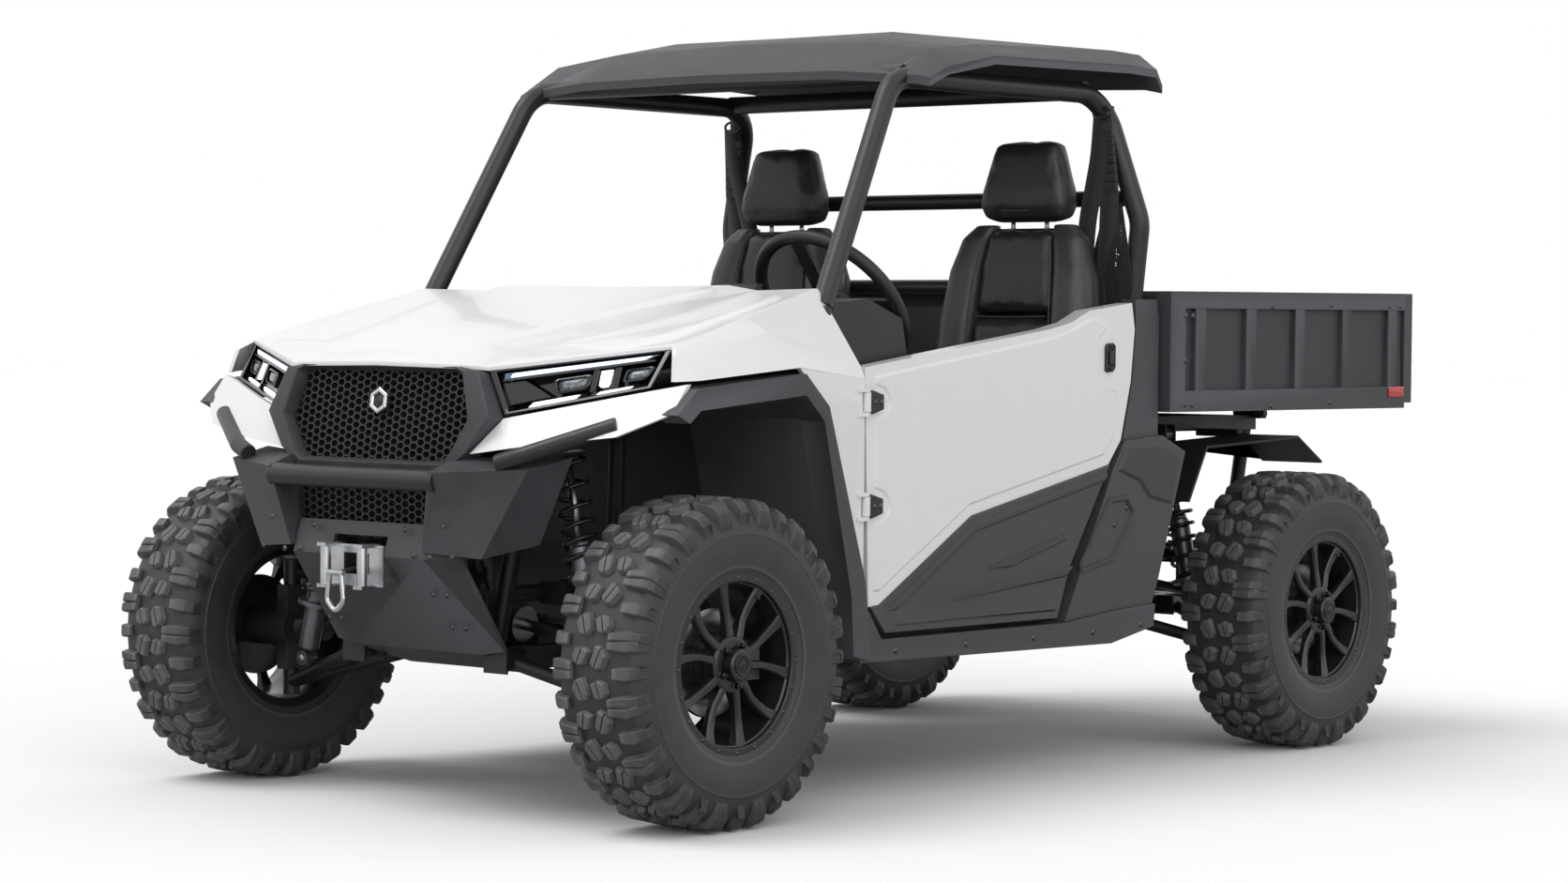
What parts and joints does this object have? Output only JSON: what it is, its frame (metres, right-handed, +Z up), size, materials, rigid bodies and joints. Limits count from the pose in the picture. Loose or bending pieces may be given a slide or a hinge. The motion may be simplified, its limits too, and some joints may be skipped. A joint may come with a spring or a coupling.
{
  "type": "side by side utility vehicle",
  "caption": "Two-seat electric side by side utility vehicle with roll cage, roof, half doors, tilting cargo bed and knobbly tyres.",
  "frame": {"origin": "middle of the bounding box on the ground", "axes": "front towards -Y, driver's side towards +X, +Z up"},
  "size_m": [1.64, 3.32, 1.7849],
  "materials": {
    "white_body": "gloss",
    "charcoal_plastic": "grained",
    "black_plastic": "matt",
    "bed_charcoal": "grained",
    "tube_black": "satin",
    "frame_black": "satin",
    "cast_housing": "cast",
    "shaft_steel": "turned",
    "spring_black": "gloss",
    "bare_aluminium": "satin",
    "lamp_lens": "clear lens over black",
    "seat_leather": "stitched",
    "grip_rubber": "satin",
    "tyre_rubber": "matt",
    "rim_black": "satin"
  },
  "bodies": {
    "chassis": {"frame": "frame_black", "drive_unit": "cast_housing", "battery_box": "black_plastic", "half_shafts": "shaft_steel", "suspension_arms_front": "frame_black", "suspension_rear": "frame_black", "shocks": "spring_black", "cab_tub": "black_plastic", "cab_back_panel": "black_plastic", "dashboard": "black_plastic", "bonnet": "white_body", "wings": "white_body", "cheeks": "white_body", "headlamps": "lamp_lens", "grille_surround": "charcoal_plastic", "grille_mesh": "black_plastic", "arch_trims": "charcoal_plastic", "bumper_pods": "charcoal_plastic", "bumper_tubes": "tube_black", "skid_panel": "charcoal_plastic", "winch_fairlead": "bare_aluminium", "winch_shackle": "bare_aluminium", "winch": "cast_housing", "sills": "charcoal_plastic", "rear_quarters": "charcoal_plastic", "roll_cage": "tube_black", "roof": "charcoal_plastic", "seats": "seat_leather", "steering_column": "black_plastic", "mudguards": "black_plastic"},
    "bed": {"bed": "bed_charcoal"},
    "tailgate": {"tailgate": "bed_charcoal"},
    "door_left": {"door_skin_left": "white_body", "door_lower_left": "charcoal_plastic"},
    "door_right": {"door_skin_right": "white_body", "door_lower_right": "charcoal_plastic"},
    "knuckle_left": {"knuckle_left": "cast_housing"},
    "knuckle_right": {"knuckle_right": "cast_housing"},
    "steering_rack": {"steering_rack": "shaft_steel"},
    "steering_wheel": {"steering_wheel": "grip_rubber"},
    "wheel_front_left": {"tyre_front_left": "tyre_rubber", "rim_front_left": "rim_black"},
    "wheel_front_right": {"tyre_front_right": "tyre_rubber", "rim_front_right": "rim_black"},
    "wheel_rear_left": {"tyre_rear_left": "tyre_rubber", "rim_rear_left": "rim_black"},
    "wheel_rear_right": {"tyre_rear_right": "tyre_rubber", "rim_rear_right": "rim_black"}
  },
  "joints": [
    {"name": "steer_left", "type": "hinge", "parent": "chassis", "child": "knuckle_left", "pos_m": [0.6, -1.24, 0.356], "axis": [0, 0, 1], "range_deg": [-28, 28]},
    {"name": "steer_right", "type": "hinge", "parent": "chassis", "child": "knuckle_right", "pos_m": [-0.6, -1.24, 0.356], "axis": [0, 0, 1], "range_deg": [-28, 28]},
    {"name": "rack_slide", "type": "slide", "parent": "chassis", "child": "steering_rack", "axis": [1, 0, 0], "range_m": [-0.052, 0.052]},
    {"name": "steering_wheel_turn", "type": "hinge", "parent": "chassis", "child": "steering_wheel", "pos_m": [0.385, -0.44, 1.13], "axis": [0, 0.788, 0.6157], "range_deg": [-340, 340]},
    {"name": "spin_front_left", "type": "hinge", "parent": "knuckle_left", "child": "wheel_front_left", "pos_m": [0.7, -1.24, 0.356], "axis": [1, 0, 0], "continuous": true},
    {"name": "spin_front_right", "type": "hinge", "parent": "knuckle_right", "child": "wheel_front_right", "pos_m": [-0.7, -1.24, 0.356], "axis": [1, 0, 0], "continuous": true},
    {"name": "spin_rear_left", "type": "hinge", "parent": "chassis", "child": "wheel_rear_left", "pos_m": [0.7, 1.06, 0.356], "axis": [1, 0, 0], "continuous": true},
    {"name": "spin_rear_right", "type": "hinge", "parent": "chassis", "child": "wheel_rear_right", "pos_m": [-0.7, 1.06, 0.356], "axis": [1, 0, 0], "continuous": true},
    {"name": "door_left_swing", "type": "hinge", "parent": "chassis", "child": "door_left", "pos_m": [0.713, -0.708, 0.79], "axis": [0, 0, -1], "range_deg": [0, 70]},
    {"name": "door_right_swing", "type": "hinge", "parent": "chassis", "child": "door_right", "pos_m": [-0.713, -0.708, 0.79], "axis": [0, 0, 1], "range_deg": [0, 70]},
    {"name": "bed_tilt", "type": "hinge", "parent": "chassis", "child": "bed", "pos_m": [0, 1.49, 0.85], "axis": [-1, 0, 0], "range_deg": [0, 40]},
    {"name": "tailgate_drop", "type": "hinge", "parent": "bed", "child": "tailgate", "pos_m": [0, 1.63, 0.886], "axis": [-1, 0, 0], "range_deg": [0, 90]}
  ],
  "couplings": [
    {"joint": "steer_right", "follows": "steer_left", "ratio": 1},
    {"joint": "rack_slide", "follows": "steer_left", "m_per_rad": -0.102},
    {"joint": "steering_wheel_turn", "follows": "steer_left", "ratio": 12}
  ]
}
